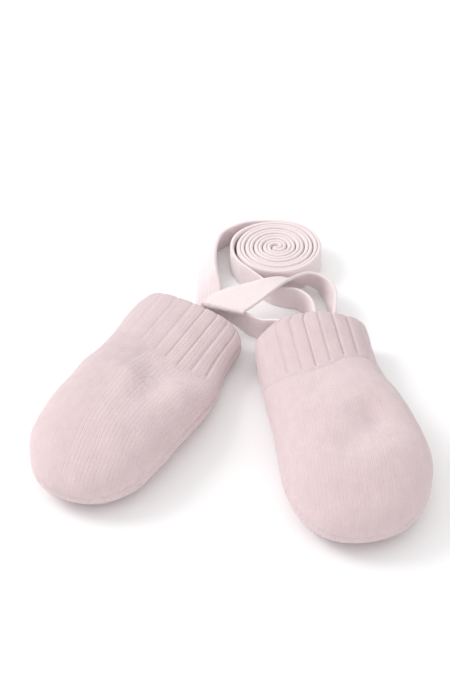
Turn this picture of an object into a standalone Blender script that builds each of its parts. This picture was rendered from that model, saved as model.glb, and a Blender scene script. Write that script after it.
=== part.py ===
"""Pair of knitted baby mittens on one flat strap, laid on a table.

Each mitten is a thumbless bag: an upper and an under hand panel, and a ribbed
cuff in two halves, all hollow and open at the cuff. One flat knitted strap
runs from inside one cuff to inside the other. Most of it is wound, doubled,
into a flat roll that stands behind the cuffs.

Lengths are millimetres until a mesh is made, and every mesh is in metres.
"""
import math

import bmesh
import bpy
import numpy as np

MM = 0.001
SEAM_GAP = 0.3
# Moves the layout so that the middle of its outline is over the origin.
LAYOUT_SHIFT = (-1.9, 23.8)

# Mitten: lengths run from the cuff's rim to the tip.
MITTEN_LENGTH = 120.0
CUFF_LENGTH = 32.0
TIP_START = 78.0
TOP_ROUND_START = 84.0
TOP_ROUND_POWER = 2.4
CROWN_POWER = 0.85
SEAM_SHARE = 0.45
HAND_WALL = 2.5
CUFF_WALL = 3.2
UNDER_WALL = 2.5
HEIGHT_STATIONS = (0.0, 31.0, 56.0, 88.0, 120.0)
KNUCKLE_DROP = 1.0
TIP_DROP = 4.0
RIM_HALF_WIDTH = 27.0
BEND_START = 35.0
DENT_FADE = 6.0

# Grids of the walls.
HAND_ROWS = 8
TIP_ROWS = 9
HAND_COLUMNS = 20
HAND_SECTION = (28.0, 14.0)
CUFF_SECTION = (25.0, 11.0)
CUFF_ROWS = (0.0, 4.0, 11.0, 21.0, CUFF_LENGTH - SEAM_GAP)
CORNER_STEPS = 5
FLAT_STEPS = 5
CUFF_FLAT_STEPS = 4
SHARP_ANGLE = 50.0

# Ribs of the cuffs: raised on the outside only, and straight along the mitten.
RIB_DEPTH = 1.0
SIDE_RIBS = 2
RIB_STEPS = 4
VALLEY_POWER = 4
RIB_STATION = 18.0
MOST_NARROWING = 1.18

# Flat strap.
STRAP_WIDTH = 11.0
STRAP_THICKNESS = 1.55
STRAP_FLOOR = 0.2
STEPS_PER_ROW = 3

# Roll: the strap doubled and wound round a fold, standing on its edge.
ROLL_CENTRE = (22.3, 53.9)
ROLL_RADIUS = 18.8
ROLL_PITCH = 3.75
ROLL_TURNS = 4.45
ROLL_STEPS = 20
EXIT_STEPS = 9
EXIT_WIDENING = 0.6
FOLD_STEPS = 5
LOOSE_TURN = 0.15
BACK_EXIT = 90.0
FRONT_EXIT = 228.0
FRONT_EXIT_RADIUS = 19.3

# Mitten tables. Columns: distance from the rim, half width on the image's
# left, half width on its right.
LEFT_WIDTHS = (
    (0.0, 21.1, 21.5),
    (8.0, 23.0, 27.3),
    (18.0, 23.2, 28.0),
    (28.0, 22.4, 29.2),
    (38.0, 21.6, 31.8),
    (48.0, 21.3, 33.6),
    (60.0, 21.6, 33.8),
    (74.0, 22.3, 32.2),
    (88.0, 23.0, 31.0),
    (100.0, 24.5, 31.2),
)
RIGHT_WIDTHS = (
    (0.0, 17.8, 20.7),
    (8.0, 25.8, 20.8),
    (18.0, 27.0, 20.7),
    (28.0, 27.4, 20.9),
    (38.0, 27.5, 22.3),
    (48.0, 27.6, 24.7),
    (60.0, 27.4, 27.2),
    (74.0, 27.6, 29.3),
    (88.0, 28.1, 30.6),
    (100.0, 28.7, 30.4),
)
# Dents in the upper hand panels. Columns: distance from the rim, place across
# (plus is the image's left), reach along, reach across, depth.
LEFT_DENTS = (
    (56.0, -10.5, 7.0, 5.5, 0.9),
    (64.0, -16.0, 7.0, 5.5, 1.2),
    (67.0, 5.0, 14.0, 6.0, 0.6),
)
RIGHT_DENTS = (
    (71.0, -11.0, 10.0, 6.0, 1.6),
    (82.0, -1.0, 9.0, 8.0, 0.9),
    (54.0, 12.5, 7.0, 13.0, 0.8),
)
# How far past the cuff's length the join of cuff and hand lies, at nine even
# places from the image's right side to its left.
LEFT_JOIN = (7.5, 10.0, 11.2, 9.4, 6.3, 3.4, 1.6, 0.2, -1.0)
RIGHT_JOIN = (-3.5, -3.3, -2.8, -1.4, 1.9, 4.0, 4.7, 4.4, 4.2)
# Valleys between a cuff's ribs: shares of the way over the upper half, from
# the image's left side, and the strength of each.
LEFT_VALLEYS = (0.0, 0.12, 0.235, 0.38, 0.53, 0.62, 0.71, 0.80, 0.885, 1.0)
LEFT_STRENGTHS = (1.0, 0.3, 0.7, 0.9, 1.0, 1.0, 1.0, 1.0, 1.0, 1.0)
RIGHT_VALLEYS = (0.0, 0.11, 0.216, 0.316, 0.42, 0.518, 0.641, 0.76, 0.88, 1.0)
RIGHT_STRENGTHS = (1.0, 0.3, 0.8, 0.9, 0.9, 1.0, 1.15, 1.2, 0.3, 1.0)

# Strap rows between the roll and the cuffs. Columns: x, y, z of one edge,
# then x, y, z of the other edge.
RUN_TO_LEFT_CUFF = (
    (22.0, 72.7, 0.2, 22.0, 72.7, 11.2),
    (15.0, 73.0, 0.2, 15.1, 72.7, 11.2),
    (8.6, 72.6, 0.2, 8.6, 71.6, 11.2),
    (2.6, 70.4, 0.2, 2.2, 68.0, 11.0),
    (-2.7, 66.2, 0.2, -1.7, 63.6, 10.9),
    (-6.8, 61.0, 0.2, -3.4, 58.0, 10.3),
    (-9.6, 55.0, 0.2, -4.0, 53.2, 9.6),
    (-11.2, 48.8, 0.2, -4.0, 48.2, 8.5),
    (-12.0, 41.8, 0.3, -3.2, 42.6, 6.6),
    (-12.2, 35.2, 0.6, -1.9, 37.2, 4.0),
    (-12.4, 28.8, 1.2, -1.7, 30.2, 2.2),
    (-12.6, 21.6, 2.4, -1.8, 23.6, 2.4),
    (-14.4, 12.5, 3.9, -4.0, 16.0, 3.9),
    (-17.6, 2.6, 3.7, -7.5, 7.0, 3.7),
)
RUN_TO_RIGHT_CUFF = (
    (32.5, -11.0, 2.9, 32.8, -11.2, 13.7),
    (28.5, -5.0, 3.1, 29.0, -5.2, 13.9),
    (23.0, 0.8, 3.2, 23.4, 0.4, 13.9),
    (14.2, 5.4, 0.4, 15.6, 4.0, 11.4),
    (8.6, 8.8, 0.6, 12.2, 6.1, 11.2),
    (2.5, 11.6, 4.0, 9.8, 7.5, 11.1),
    (-5.0, 13.6, 8.2, 8.8, 8.3, 11.1),
    (-9.7, 14.4, 10.2, 8.4, 8.3, 11.1),
)
CROSSING = (
    (-9.4, 14.4, 12.2, 8.4, 7.4, 12.8),
    (-5.2, 18.2, 12.8, 9.8, 8.2, 13.0),
    (0.2, 21.6, 13.0, 11.5, 10.0, 13.0),
    (5.0, 23.6, 13.0, 13.6, 12.2, 13.1),
    (11.0, 26.0, 13.0, 16.8, 15.6, 13.6),
    (17.5, 28.8, 12.9, 20.4, 18.9, 14.6),
    (24.0, 33.2, 9.9, 25.0, 24.3, 14.6),
    (29.5, 35.7, 5.6, 30.0, 29.2, 14.3),
)
LOOP = (
    (29.9, 35.9, 5.3, 30.4, 29.5, 14.2),
    (34.6, 38.0, 2.8, 35.0, 33.4, 12.8),
    (38.6, 37.4, 1.0, 40.5, 33.6, 11.3),
    (41.6, 33.5, 0.3, 44.6, 29.6, 10.8),
    (43.2, 26.0, 0.2, 46.3, 23.6, 10.9),
    (44.3, 18.0, 0.2, 46.1, 17.0, 11.1),
    (44.6, 10.0, 0.2, 45.3, 10.0, 11.2),
    (43.0, 5.2, 0.2, 43.2, 5.0, 11.2),
    (40.8, 4.0, 0.2, 40.8, 4.0, 11.2),
    (38.4, 5.2, 0.2, 38.4, 5.2, 11.2),
    (37.2, 9.2, 0.2, 37.2, 9.2, 11.2),
)
FRONT_RUN = (
    (9.6, 39.3, 0.2, 9.6, 39.3, 11.2),
    (14.6, 33.9, 0.2, 14.5, 33.6, 11.0),
    (19.4, 28.8, 0.2, 19.3, 28.2, 11.0),
    (24.8, 26.3, 0.2, 24.7, 25.6, 11.1),
    (30.3, 25.0, 0.2, 30.3, 24.4, 11.2),
    (34.3, 21.2, 0.2, 34.3, 20.8, 11.2),
    (36.5, 16.0, 0.2, 36.5, 15.6, 11.2),
    (37.2, 9.5, 0.2, 37.2, 9.5, 11.2),
)

MITTENS = {
    "left": {
        "place": (-12.9, 11.9),
        "yaw": -27.3,
        "bend": -6.4,
        "cuff_height": 17.4,
        "hand_height": 26.8,
        "tip_power": 2.16,
        "rim_curve": -3.1,
        "rim_skew": -2.1,
        "widths": LEFT_WIDTHS,
        "dents": LEFT_DENTS,
        "join": LEFT_JOIN,
        "valleys": LEFT_VALLEYS,
        "strengths": LEFT_STRENGTHS,
    },
    "right": {
        "place": (36.9, -2.0),
        "yaw": 8.5,
        "bend": 2.9,
        "cuff_height": 20.8,
        "hand_height": 27.3,
        "tip_power": 2.24,
        "rim_curve": 0.4,
        "rim_skew": -3.7,
        "widths": RIGHT_WIDTHS,
        "dents": RIGHT_DENTS,
        "join": RIGHT_JOIN,
        "valleys": RIGHT_VALLEYS,
        "strengths": RIGHT_STRENGTHS,
    },
}

# Finishes: base colour and roughness.
KNIT_PINK = (0.80, 0.66, 0.67, 1.0)
RIB_PINK = (0.81, 0.67, 0.68, 1.0)
STRAP_PINK = (0.84, 0.72, 0.73, 1.0)
WOOL_ROUGHNESS = 0.95


def clear_scene():
    """Removes every object that the file opened with."""
    for item in list(bpy.data.objects):
        bpy.data.objects.remove(item, do_unlink=True)


def wool_material(name, colour):
    """A matt Principled material for knitted wool."""
    material = bpy.data.materials.new(name)
    material.use_nodes = True
    shader = material.node_tree.nodes["Principled BSDF"]
    shader.inputs["Base Color"].default_value = colour
    shader.inputs["Roughness"].default_value = WOOL_ROUGHNESS
    shader.inputs["Metallic"].default_value = 0.0
    return material


def smooth_rows(rows, places):
    """Values at places along a table, on a curve through its rows."""
    values = np.array(rows, dtype=float)
    slopes = np.gradient(values, axis=0)
    first = np.clip(places.astype(int), 0, len(values) - 2)
    part = (places - first)[:, None]
    rest = 1.0 - part
    return (
        (1 + 2 * part) * rest**2 * values[first]
        + part * rest**2 * slopes[first]
        + part**2 * (3 - 2 * part) * values[first + 1]
        + part**2 * (part - 1) * slopes[first + 1]
    )


def half_width(mitten, reach, share):
    """Half width of the mitten on the side of each place, plus is the image's left."""
    table = np.array(mitten["widths"])
    places = np.interp(reach, table[:, 0], np.arange(len(table)))
    rows = smooth_rows(table[:, 1:], places.ravel())
    left, right = (rows[:, k].reshape(reach.shape) for k in range(2))
    return np.where(share > 0, left, right)


def section_height(mitten, cloth):
    """Height of a mitten at distances along its cloth."""
    cuff, hand = mitten["cuff_height"], mitten["hand_height"]
    heights = (cuff, cuff, hand - KNUCKLE_DROP, hand, hand - TIP_DROP)
    return np.interp(cloth, HEIGHT_STATIONS, heights)


def cloth_reach(mitten, cloth, share, under):
    """Distance from the rim of cloth that the slanted join has carried along.

    The join's whole shift is felt at the cuff's length, and less and less
    towards the rim and the tip. The under half's join is a straight line.
    """
    join = np.array(mitten["join"])
    if under:
        shift = np.interp(share, (-1.0, 1.0), (join[0], join[-1]))
    else:
        places = (np.clip(share, -1.0, 1.0) + 1) / 2 * (len(join) - 1)
        shift = smooth_rows(join[:, None], places.ravel()).reshape(share.shape)
    near = np.minimum(cloth / CUFF_LENGTH, (TIP_START - cloth) / (TIP_START - CUFF_LENGTH))
    near = np.clip(near, 0.0, 1.0)
    return cloth + shift * near**2 * (3 - 2 * near)


def skin(mitten, along, turn, inset, under):
    """Points of a mitten's skin as a grid of sections.

    along is the distance from the rim, past TIP_START as an arc's share of
    the tip. turn runs from 0 at the image's left seam to pi at the right one.
    inset moves the skin inwards, and under picks the lower half.
    """
    tip_length = MITTEN_LENGTH - TIP_START
    tip_turn = np.clip((along - TIP_START) / tip_length, 0.0, 1.0) * math.pi / 2
    thick = np.mean(inset)
    cloth = np.where(
        along > TIP_START, TIP_START + (tip_length - thick) * np.sin(tip_turn), along
    )[:, None]
    power = mitten["tip_power"]
    closing = ((1 - np.sin(tip_turn) ** power) ** (1 / power))[:, None]
    lift = np.clip((cloth - TOP_ROUND_START) / (MITTEN_LENGTH - TOP_ROUND_START - thick), 0.0, 1.0)
    lift = (1 - lift**TOP_ROUND_POWER) ** (1 / TOP_ROUND_POWER)
    height = section_height(mitten, cloth)
    seam = SEAM_SHARE * height
    share = np.cos(turn) * np.ones_like(cloth)
    place_across = share
    if under:
        rounded = np.minimum(seam / half_width(mitten, cloth, share), 1.0)
        place_across = np.sign(share) * (1 - rounded) + rounded * share
    reach = cloth_reach(mitten, cloth, place_across, under)
    full = half_width(mitten, np.minimum(reach, MITTEN_LENGTH), share) * closing
    if under:
        corner = np.minimum(seam, full)
        arc = np.maximum(corner - inset * closing, 0.0)
        across = np.sign(share) * (full - corner) + arc * share
        z = seam - SEAM_GAP / 2 - (seam - SEAM_GAP / 2 - inset) * lift * np.sin(turn)
    else:
        across = np.maximum(full - inset * closing, 0.0) * share
        crown = np.abs(np.sin(turn)) ** CROWN_POWER
        z = seam + SEAM_GAP / 2 + (height - seam - SEAM_GAP / 2 - inset) * lift * crown
        z = z - dents(mitten, reach, across) * np.sin(turn)
    return place(mitten, reach, across, z)


def dents(mitten, reach, across):
    """Depth of the soft hollows in an upper hand panel."""
    depth = np.zeros_like(reach)
    for along, side, length, width, deep in mitten["dents"]:
        far = ((reach - along) / length) ** 2 + ((across - side) / width) ** 2
        depth += deep * np.exp(-far)
    return depth * np.clip((reach - CUFF_LENGTH) / DENT_FADE, 0.0, 1.0)


def place(mitten, reach, across, z):
    """Bends a mitten's own coordinates and lays them in the layout."""
    edge = across / RIM_HALF_WIDTH
    fade = np.clip(1 - reach / CUFF_LENGTH, 0.0, 1.0)
    reach = reach - mitten["rim_curve"] * (1 - edge**2) * fade + mitten["rim_skew"] * edge * fade
    bent = np.clip((reach - BEND_START) / (MITTEN_LENGTH - BEND_START), 0.0, None)
    across = across + mitten["bend"] * bent**2
    yaw = math.radians(mitten["yaw"])
    x = mitten["place"][0] + reach * math.sin(yaw) - across * math.cos(yaw)
    y = mitten["place"][1] - reach * math.cos(yaw) - across * math.sin(yaw)
    return np.stack([x, y, z], axis=-1)


def turns_at(shares, section):
    """Angles at shares of the way over a half ellipse, by length."""
    fine = np.linspace(0.0, math.pi, 400)
    path = np.stack([section[0] * np.cos(fine), section[1] * np.sin(fine)], axis=1)
    length = np.concatenate([[0.0], np.cumsum(np.linalg.norm(np.diff(path, axis=0), axis=1))])
    return np.interp(np.array(shares) * length[-1], length, fine)


def straight_turns(mitten, cloth, turn):
    """Turns that keep each line of a cuff's cloth at one place across.

    The lines stay straight while the mitten widens, and close up to the side
    where it narrows.
    """
    share = np.cos(turn) * np.ones((len(cloth), 1))
    reach = cloth_reach(mitten, cloth[:, None], share, under=False)
    station = np.full_like(share, RIB_STATION)
    ratio = half_width(mitten, station, share) / half_width(mitten, reach, share)
    ratio = np.minimum(ratio, MOST_NARROWING)
    eased = np.abs(share) * (ratio - (ratio - 1) * np.abs(share) ** 4)
    return np.arccos(np.clip(np.sign(share) * eased, -1.0, 1.0))


def shell_faces(rows, columns, pole):
    """Faces of a wall between an outer and an inner grid of points.

    Each grid has rows times columns points, and with a pole one point more,
    which closes its last row.
    """
    count = rows * columns + (1 if pole else 0)
    faces = []
    for i in range(rows - 1):
        for j in range(columns - 1):
            a = i * columns + j
            b, c, d = a + 1, a + columns + 1, a + columns
            faces.append((a, b, c, d))
            faces.append((count + d, count + c, count + b, count + a))
        for j in (0, columns - 1):
            a, d = i * columns + j, (i + 1) * columns + j
            side = (a, d, count + d, count + a)
            faces.append(side if j == 0 else side[::-1])
    ends = ((0, False),) if pole else ((0, False), (rows - 1, True))
    for i, last in ends:
        for j in range(columns - 1):
            a = i * columns + j
            side = (a, count + a, count + a + 1, a + 1)
            faces.append(side[::-1] if last else side)
    if pole:
        tip, base = rows * columns, (rows - 1) * columns
        for j in range(columns - 1):
            faces.append((base + j, base + j + 1, tip))
            faces.append((count + tip, count + base + j + 1, count + base + j))
        first, last = base, base + columns - 1
        faces.append((first, tip, count + tip, count + first))
        faces.append((last, count + last, count + tip, tip))
    return faces


def add_object(name, points, faces, material, collection):
    """Makes a closed mesh object from layout points in millimetres."""
    shift = np.array([LAYOUT_SHIFT[0], LAYOUT_SHIFT[1], 0.0])
    mesh = bpy.data.meshes.new(name)
    mesh.from_pydata(((points + shift) * MM).tolist(), [], faces)
    work = bmesh.new()
    work.from_mesh(mesh)
    bmesh.ops.recalc_face_normals(work, faces=work.faces)
    work.to_mesh(mesh)
    work.free()
    mesh.shade_smooth()
    mesh.set_sharp_from_angle(angle=math.radians(SHARP_ANGLE))
    mesh.materials.append(material)
    item = bpy.data.objects.new(name, mesh)
    collection.objects.link(item)
    return item


def wall(name, outer, inner, pole, material, collection):
    """A wall from its outer and inner grids; a pole closes the last row."""
    rows, columns = outer.shape[:2]
    grids = []
    for grid in (outer, inner):
        flat = grid.reshape(-1, 3)
        if pole:
            flat = np.concatenate([grid[:-1].reshape(-1, 3), grid[-1:, columns // 2]])
        grids.append(flat)
    kept_rows = rows - 1 if pole else rows
    faces = shell_faces(kept_rows, columns, pole)
    return add_object(name, np.concatenate(grids), faces, material, collection)


def under_turns(arc_steps, flat_steps):
    """Angles across the under half: two corner arcs and the flat between.

    The flat's points share the angle of a right angle on either side, so the
    flat is divided afterwards, by spread_flat.
    """
    arc = np.linspace(0.0, math.pi / 2, arc_steps + 1)
    nudge = 1e-6
    left = np.minimum(arc, math.pi / 2 - nudge)
    right = math.pi - left[::-1]
    middle = np.full(flat_steps - 1, math.pi / 2 - nudge)
    return np.concatenate([left, middle, right])


def spread_flat(grid, arc_steps, flat_steps):
    """Spaces the points of the flat evenly between the corner arcs."""
    first, last = arc_steps, arc_steps + flat_steps
    share = np.linspace(0.0, 1.0, flat_steps + 1)[None, :, None]
    start, end = grid[:, first : first + 1], grid[:, last : last + 1]
    grid[:, first : last + 1] = start * (1 - share) + end * share
    return grid


def rib_inset(strengths):
    """How far the outside drops at each column: deep in the valleys.

    Each valley has its own strength, which holds up to the crests beside it.
    """
    ribs = len(strengths) - 1
    phase = np.linspace(0.0, ribs, ribs * RIB_STEPS + 1)
    nearest = np.array(strengths)[np.round(phase).astype(int)]
    return RIB_DEPTH * nearest * np.abs(np.cos(math.pi * phase)) ** VALLEY_POWER


def hand_panels(side, mitten, material, collection):
    """Upper and under hand panels, closed at the tip and open at the cuff."""
    hand = np.linspace(CUFF_LENGTH, TIP_START, HAND_ROWS)
    tip = np.linspace(TIP_START, MITTEN_LENGTH, TIP_ROWS)
    along = np.concatenate([hand, tip[1:]])
    turn = turns_at(np.linspace(0.0, 1.0, HAND_COLUMNS + 1), HAND_SECTION)
    outer, inner = (skin(mitten, along, turn, inset, under=False) for inset in (0.0, HAND_WALL))
    wall(f"mitten_{side}_hand_top", outer, inner, True, material, collection)
    turn = under_turns(CORNER_STEPS, FLAT_STEPS)
    grids = [
        spread_flat(skin(mitten, along, turn, inset, under=True), CORNER_STEPS, FLAT_STEPS)
        for inset in (0.0, UNDER_WALL)
    ]
    wall(f"mitten_{side}_hand_palm", grids[0], grids[1], True, material, collection)


def cuff_halves(side, mitten, material, collection):
    """Upper and under halves of a ribbed cuff."""
    along = np.array(CUFF_ROWS)
    valleys = mitten["valleys"]
    ribs = len(valleys) - 1
    places = np.linspace(0.0, ribs, ribs * RIB_STEPS + 1)
    turn = turns_at(np.interp(places, np.arange(ribs + 1), valleys), CUFF_SECTION)
    turn = straight_turns(mitten, along, turn)
    outer = skin(mitten, along, turn, rib_inset(mitten["strengths"]), under=False)
    inner = skin(mitten, along, turn, CUFF_WALL, under=False)
    wall(f"mitten_{side}_cuff_top", outer, inner, False, material, collection)
    arc_steps = SIDE_RIBS * RIB_STEPS
    turn = under_turns(arc_steps, CUFF_FLAT_STEPS)
    rib_side = rib_inset((1.0,) * SIDE_RIBS + (0.0,))
    flat = np.zeros(CUFF_FLAT_STEPS - 1)
    ribs_under = np.concatenate([rib_side, flat, rib_side[::-1]])
    outer, inner = (
        spread_flat(skin(mitten, along, turn, inset, under=True), arc_steps, CUFF_FLAT_STEPS)
        for inset in (ribs_under, UNDER_WALL)
    )
    wall(f"mitten_{side}_cuff_under", outer, inner, False, material, collection)


def band_faces(count):
    """Faces of a closed band with four corners at each station."""
    faces = [(0, 1, 2, 3), tuple(4 * (count - 1) + k for k in (3, 2, 1, 0))]
    for i in range(count - 1):
        for k in range(4):
            a, b = 4 * i + k, 4 * i + (k + 1) % 4
            faces.append((a, a + 4, b + 4, b))
    return faces


def band(name, low, high, material, collection):
    """A strap solid round the sheet between two edge curves."""
    middle = (low + high) / 2
    along = np.gradient(middle, axis=0)
    normal = np.cross(along, high - low)
    normal *= STRAP_THICKNESS / 2 / np.linalg.norm(normal, axis=1, keepdims=True)
    corners = np.stack([low - normal, low + normal, high + normal, high - normal], axis=1)
    return add_object(name, corners.reshape(-1, 3), band_faces(len(low)), material, collection)


def strap_run(name, rows, material, collection):
    """A free stretch of strap through its table's rows."""
    places = np.linspace(0.0, len(rows) - 1, (len(rows) - 1) * STEPS_PER_ROW + 1)
    edges = smooth_rows(rows, places)
    return band(name, edges[:, :3], edges[:, 3:], material, collection)


def polar(radius, angle):
    """Plan points at radii and angles round the middle of the roll."""
    return np.stack([radius * np.cos(angle), radius * np.sin(angle)], axis=1)


def roll_path():
    """Middle line of the doubled strap, from the front exit to the back one.

    The inner strand leaves at the front, and the outer one at the back. Both
    wind anticlockwise outwards, a strand's pitch apart, from a fold at the
    centre.
    """
    turns = np.linspace(0.0, ROLL_TURNS, int(ROLL_TURNS * ROLL_STEPS) + 1)
    radius = ROLL_RADIUS - ROLL_PITCH * np.maximum(turns - LOOSE_TURN, 0.0)
    angle = math.radians(BACK_EXIT) - 2 * math.pi * turns
    outer = polar(radius, angle)
    inner = polar(radius - ROLL_PITCH / 2, angle)
    lead = math.radians(FRONT_EXIT - BACK_EXIT)
    swing = np.linspace(0.0, lead, EXIT_STEPS)
    start = ROLL_RADIUS - ROLL_PITCH / 2
    widen = np.clip(swing / (lead * EXIT_WIDENING), 0.0, 1.0)
    lead_radius = start + (FRONT_EXIT_RADIUS - start) * widen**2 * (3 - 2 * widen)
    leaving = polar(lead_radius, math.radians(BACK_EXIT) + swing)
    fold_middle = (outer[-1] + inner[-1]) / 2
    arm = (outer[-1] - inner[-1]) / 2
    side = np.array([arm[1], -arm[0]])
    bow = np.linspace(0.0, math.pi, FOLD_STEPS)[1:-1, None]
    fold = fold_middle - arm * np.cos(bow) + side * np.sin(bow)
    path = np.concatenate([leaving[::-1], inner[1:], fold, outer[::-1]])
    return path + np.array(ROLL_CENTRE)


def roll(material, collection):
    """The wound strap, one solid standing on its edge."""
    path = roll_path()
    low = np.column_stack([path, np.full(len(path), STRAP_FLOOR)])
    high = low + np.array([0.0, 0.0, STRAP_WIDTH])
    return band("strap_roll", low, high, material, collection)


def main():
    """Builds both mittens and the strap."""
    clear_scene()
    collection = bpy.data.collections.new("baby_mittens")
    bpy.context.scene.collection.children.link(collection)
    knit = wool_material("hand_knit", KNIT_PINK)
    rib = wool_material("cuff_rib", RIB_PINK)
    strap = wool_material("strap_knit", STRAP_PINK)
    for side, mitten in MITTENS.items():
        hand_panels(side, mitten, knit, collection)
        cuff_halves(side, mitten, rib, collection)
    roll(strap, collection)
    strap_run("strap_run_to_left_cuff", RUN_TO_LEFT_CUFF, strap, collection)
    strap_run("strap_run_to_right_cuff", RUN_TO_RIGHT_CUFF, strap, collection)
    strap_run("strap_crossing", CROSSING, strap, collection)
    strap_run("strap_loop", LOOP, strap, collection)
    strap_run("strap_front_run", FRONT_RUN, strap, collection)


main()
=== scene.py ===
"""Looks of a pair of knitted baby mittens on one flat knitted strap.

Each piece of cloth is a thin knitted shell on its solid's form: ribbed cuffs,
hand panels sewn together at the sides and round the tip, and one strap from
cuff to cuff. Lengths are millimetres until a mesh is made.
"""

import logging
import math
from dataclasses import dataclass, field
from enum import Enum

import bpy
import numpy as np
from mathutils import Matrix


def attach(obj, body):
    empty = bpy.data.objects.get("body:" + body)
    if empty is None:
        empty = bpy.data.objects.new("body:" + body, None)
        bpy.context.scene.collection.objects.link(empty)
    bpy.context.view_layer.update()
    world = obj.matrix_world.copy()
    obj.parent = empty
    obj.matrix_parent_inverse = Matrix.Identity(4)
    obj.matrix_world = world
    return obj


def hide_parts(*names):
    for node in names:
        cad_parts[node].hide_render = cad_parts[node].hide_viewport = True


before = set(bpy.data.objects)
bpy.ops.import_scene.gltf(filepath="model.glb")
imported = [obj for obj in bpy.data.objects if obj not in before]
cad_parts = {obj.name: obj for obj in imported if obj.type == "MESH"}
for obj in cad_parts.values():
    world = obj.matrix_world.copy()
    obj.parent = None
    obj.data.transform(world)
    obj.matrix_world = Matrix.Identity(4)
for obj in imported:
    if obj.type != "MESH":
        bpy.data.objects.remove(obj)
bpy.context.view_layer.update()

LOG = logging.getLogger("baby_mittens")

MM = 0.001
BODY = "root"
# Moves the layout so that the middle of its outline is over the origin.
LAYOUT_SHIFT = (-1.9, 23.8, 0.0)

# Form that both mittens share, from the cuff's rim to the tip.
MITTEN_LENGTH = 120.0
CUFF_LENGTH = 32.0
TIP_START = 78.0
TOP_ROUND_START = 84.0
TOP_ROUND_POWER = 2.4
CROWN_POWER = 0.85
SEAM_SHARE = 0.45
RISE = (27.0, 62.0)
CROWN_STATION = 88.0
KNUCKLE_DROP = 1.0
TIP_DROP = 4.0
RIM_HALF_WIDTH = 27.0
BEND_START = 35.0
# The lines of a cuff are set out at this distance from the rim.
RIB_STATION = 18.0
MOST_NARROWING = 1.18
# Dents begin over this length past the cuff.
DENT_START = 6.0
# Share of a crease's depth that is left at its ends.
CREASE_END = 0.35

# Steps of the fine lines that cloth is measured on.
SECTION_STEPS = 2001
LINE_STEPS = 900
SHARP_ANGLE = 75.0

Triple = tuple[float, float, float]
Marks = tuple[tuple[float, ...], ...]
Grid = np.ndarray
Loop = tuple[Grid, Grid]


class Face(Enum):
    """The two faces of a mitten that lies flat."""

    UPPER = "upper"
    UNDER = "under"


class Slot(Enum):
    """Material slots of the record."""

    HAND = "hand_knit"
    CUFF = "cuff_rib"
    STRAP = "strap_knit"


class Held(Enum):
    """How a sheet of cloth is held."""

    LAID = "laid"
    FOLDED = "folded"


def smooth_step(values: Grid) -> Grid:
    """Eases values from 0 to 1: three squares less two cubes, held at the ends."""
    share = np.clip(values, 0.0, 1.0)
    return share**2 * (3.0 - 2.0 * share)


def bell(values: Grid, width: float) -> Grid:
    """A bell of height 1: e to minus the square of the values over the width."""
    return np.exp(-((values / width) ** 2))


def rounding(share: Grid, power: float) -> Grid:
    """Height of a superellipse of size 1 and the given power at a share of its reach."""
    return (1.0 - np.clip(share, 0.0, 1.0) ** power) ** (1 / power)


def smooth_rows(rows: Grid, places: Grid) -> Grid:
    """Reads a table between its rows, on the cubic whose slopes are the neighbours' mean.

    Args:
        rows: The table.
        places: Row numbers to read at.

    Returns:
        A row for each place.
    """
    values = np.asarray(rows, dtype=float)
    slopes = np.gradient(values, axis=0)
    first = np.clip(places.astype(int), 0, len(values) - 2)
    part = (places - first)[:, None]
    rest = 1.0 - part
    return (
        (1 + 2 * part) * rest**2 * values[first]
        + part * rest**2 * slopes[first]
        + part**2 * (3 - 2 * part) * values[first + 1]
        + part**2 * (part - 1) * slopes[first + 1]
    )


def lengths_along(points: Grid) -> Grid:
    """Distance along a line of points, from its first point to each point."""
    steps = np.linalg.norm(np.diff(points, axis=0), axis=-1)
    return np.concatenate([np.zeros((1,) + steps.shape[1:]), np.cumsum(steps, axis=0)])


@dataclass(frozen=True)
class Unevenness:
    """Soft waves without a repeat, for the small differences of hand work."""

    seed: int
    wavelength: float
    waves: int = 7

    def at(self, x: Grid, y: Grid) -> Grid:
        """Height of the waves, about -1 to 1.

        It is a sum of sines, each with its own way, start and length.

        Args:
            x: First coordinate, in millimetres.
            y: Second coordinate.

        Returns:
            The height at each point.
        """
        draw = np.random.default_rng(self.seed)
        total = np.zeros(np.broadcast(x, y).shape)
        for _ in range(self.waves):
            way, start = draw.uniform(0.0, 2 * math.pi, 2)
            rate = 2 * math.pi / (self.wavelength * draw.uniform(0.7, 1.5))
            total += np.sin(rate * (x * math.cos(way) + y * math.sin(way)) + start)
        return total / math.sqrt(self.waves * 2.0)


SEAM_PULL = Unevenness(41, 7.0)
ROLL_SETTLING = Unevenness(23, 46.0)


@dataclass(frozen=True)
class KnitGauge:
    """Sizes of a knitted cloth's stitches and the depth of their relief."""

    wale: float = 1.5
    course: float = 1.06
    groove: float = 0.19
    loop: float = 0.06
    lean: float = 0.9
    columns_per_wale: int = 4
    rows_per_course: int = 3

    def depth(self, wales: Grid, courses: Grid) -> Grid:
        """Depth of the stitches below the cloth's face, zero on the crests.

        Across a wale are two legs: six tenths of the squared sine of twice the angle,
        and four tenths of its squared cosine. Along it the legs are slanted rolls, a
        cosine of the course less the lean.

        Args:
            wales: Place across, counted in wales.
            courses: Place along, counted in courses.

        Returns:
            Depth in millimetres.
        """
        side = np.abs(wales - np.floor(wales) - 0.5)
        legs = 0.6 * np.sin(2 * math.pi * side) ** 2 + 0.4 * np.cos(math.pi * side) ** 2
        rolls = 0.5 + 0.5 * np.cos(2 * math.pi * (courses - 2 * self.lean * side))
        return self.groove * (1.0 - legs / 0.8) + self.loop * (1.0 - rolls)


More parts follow.
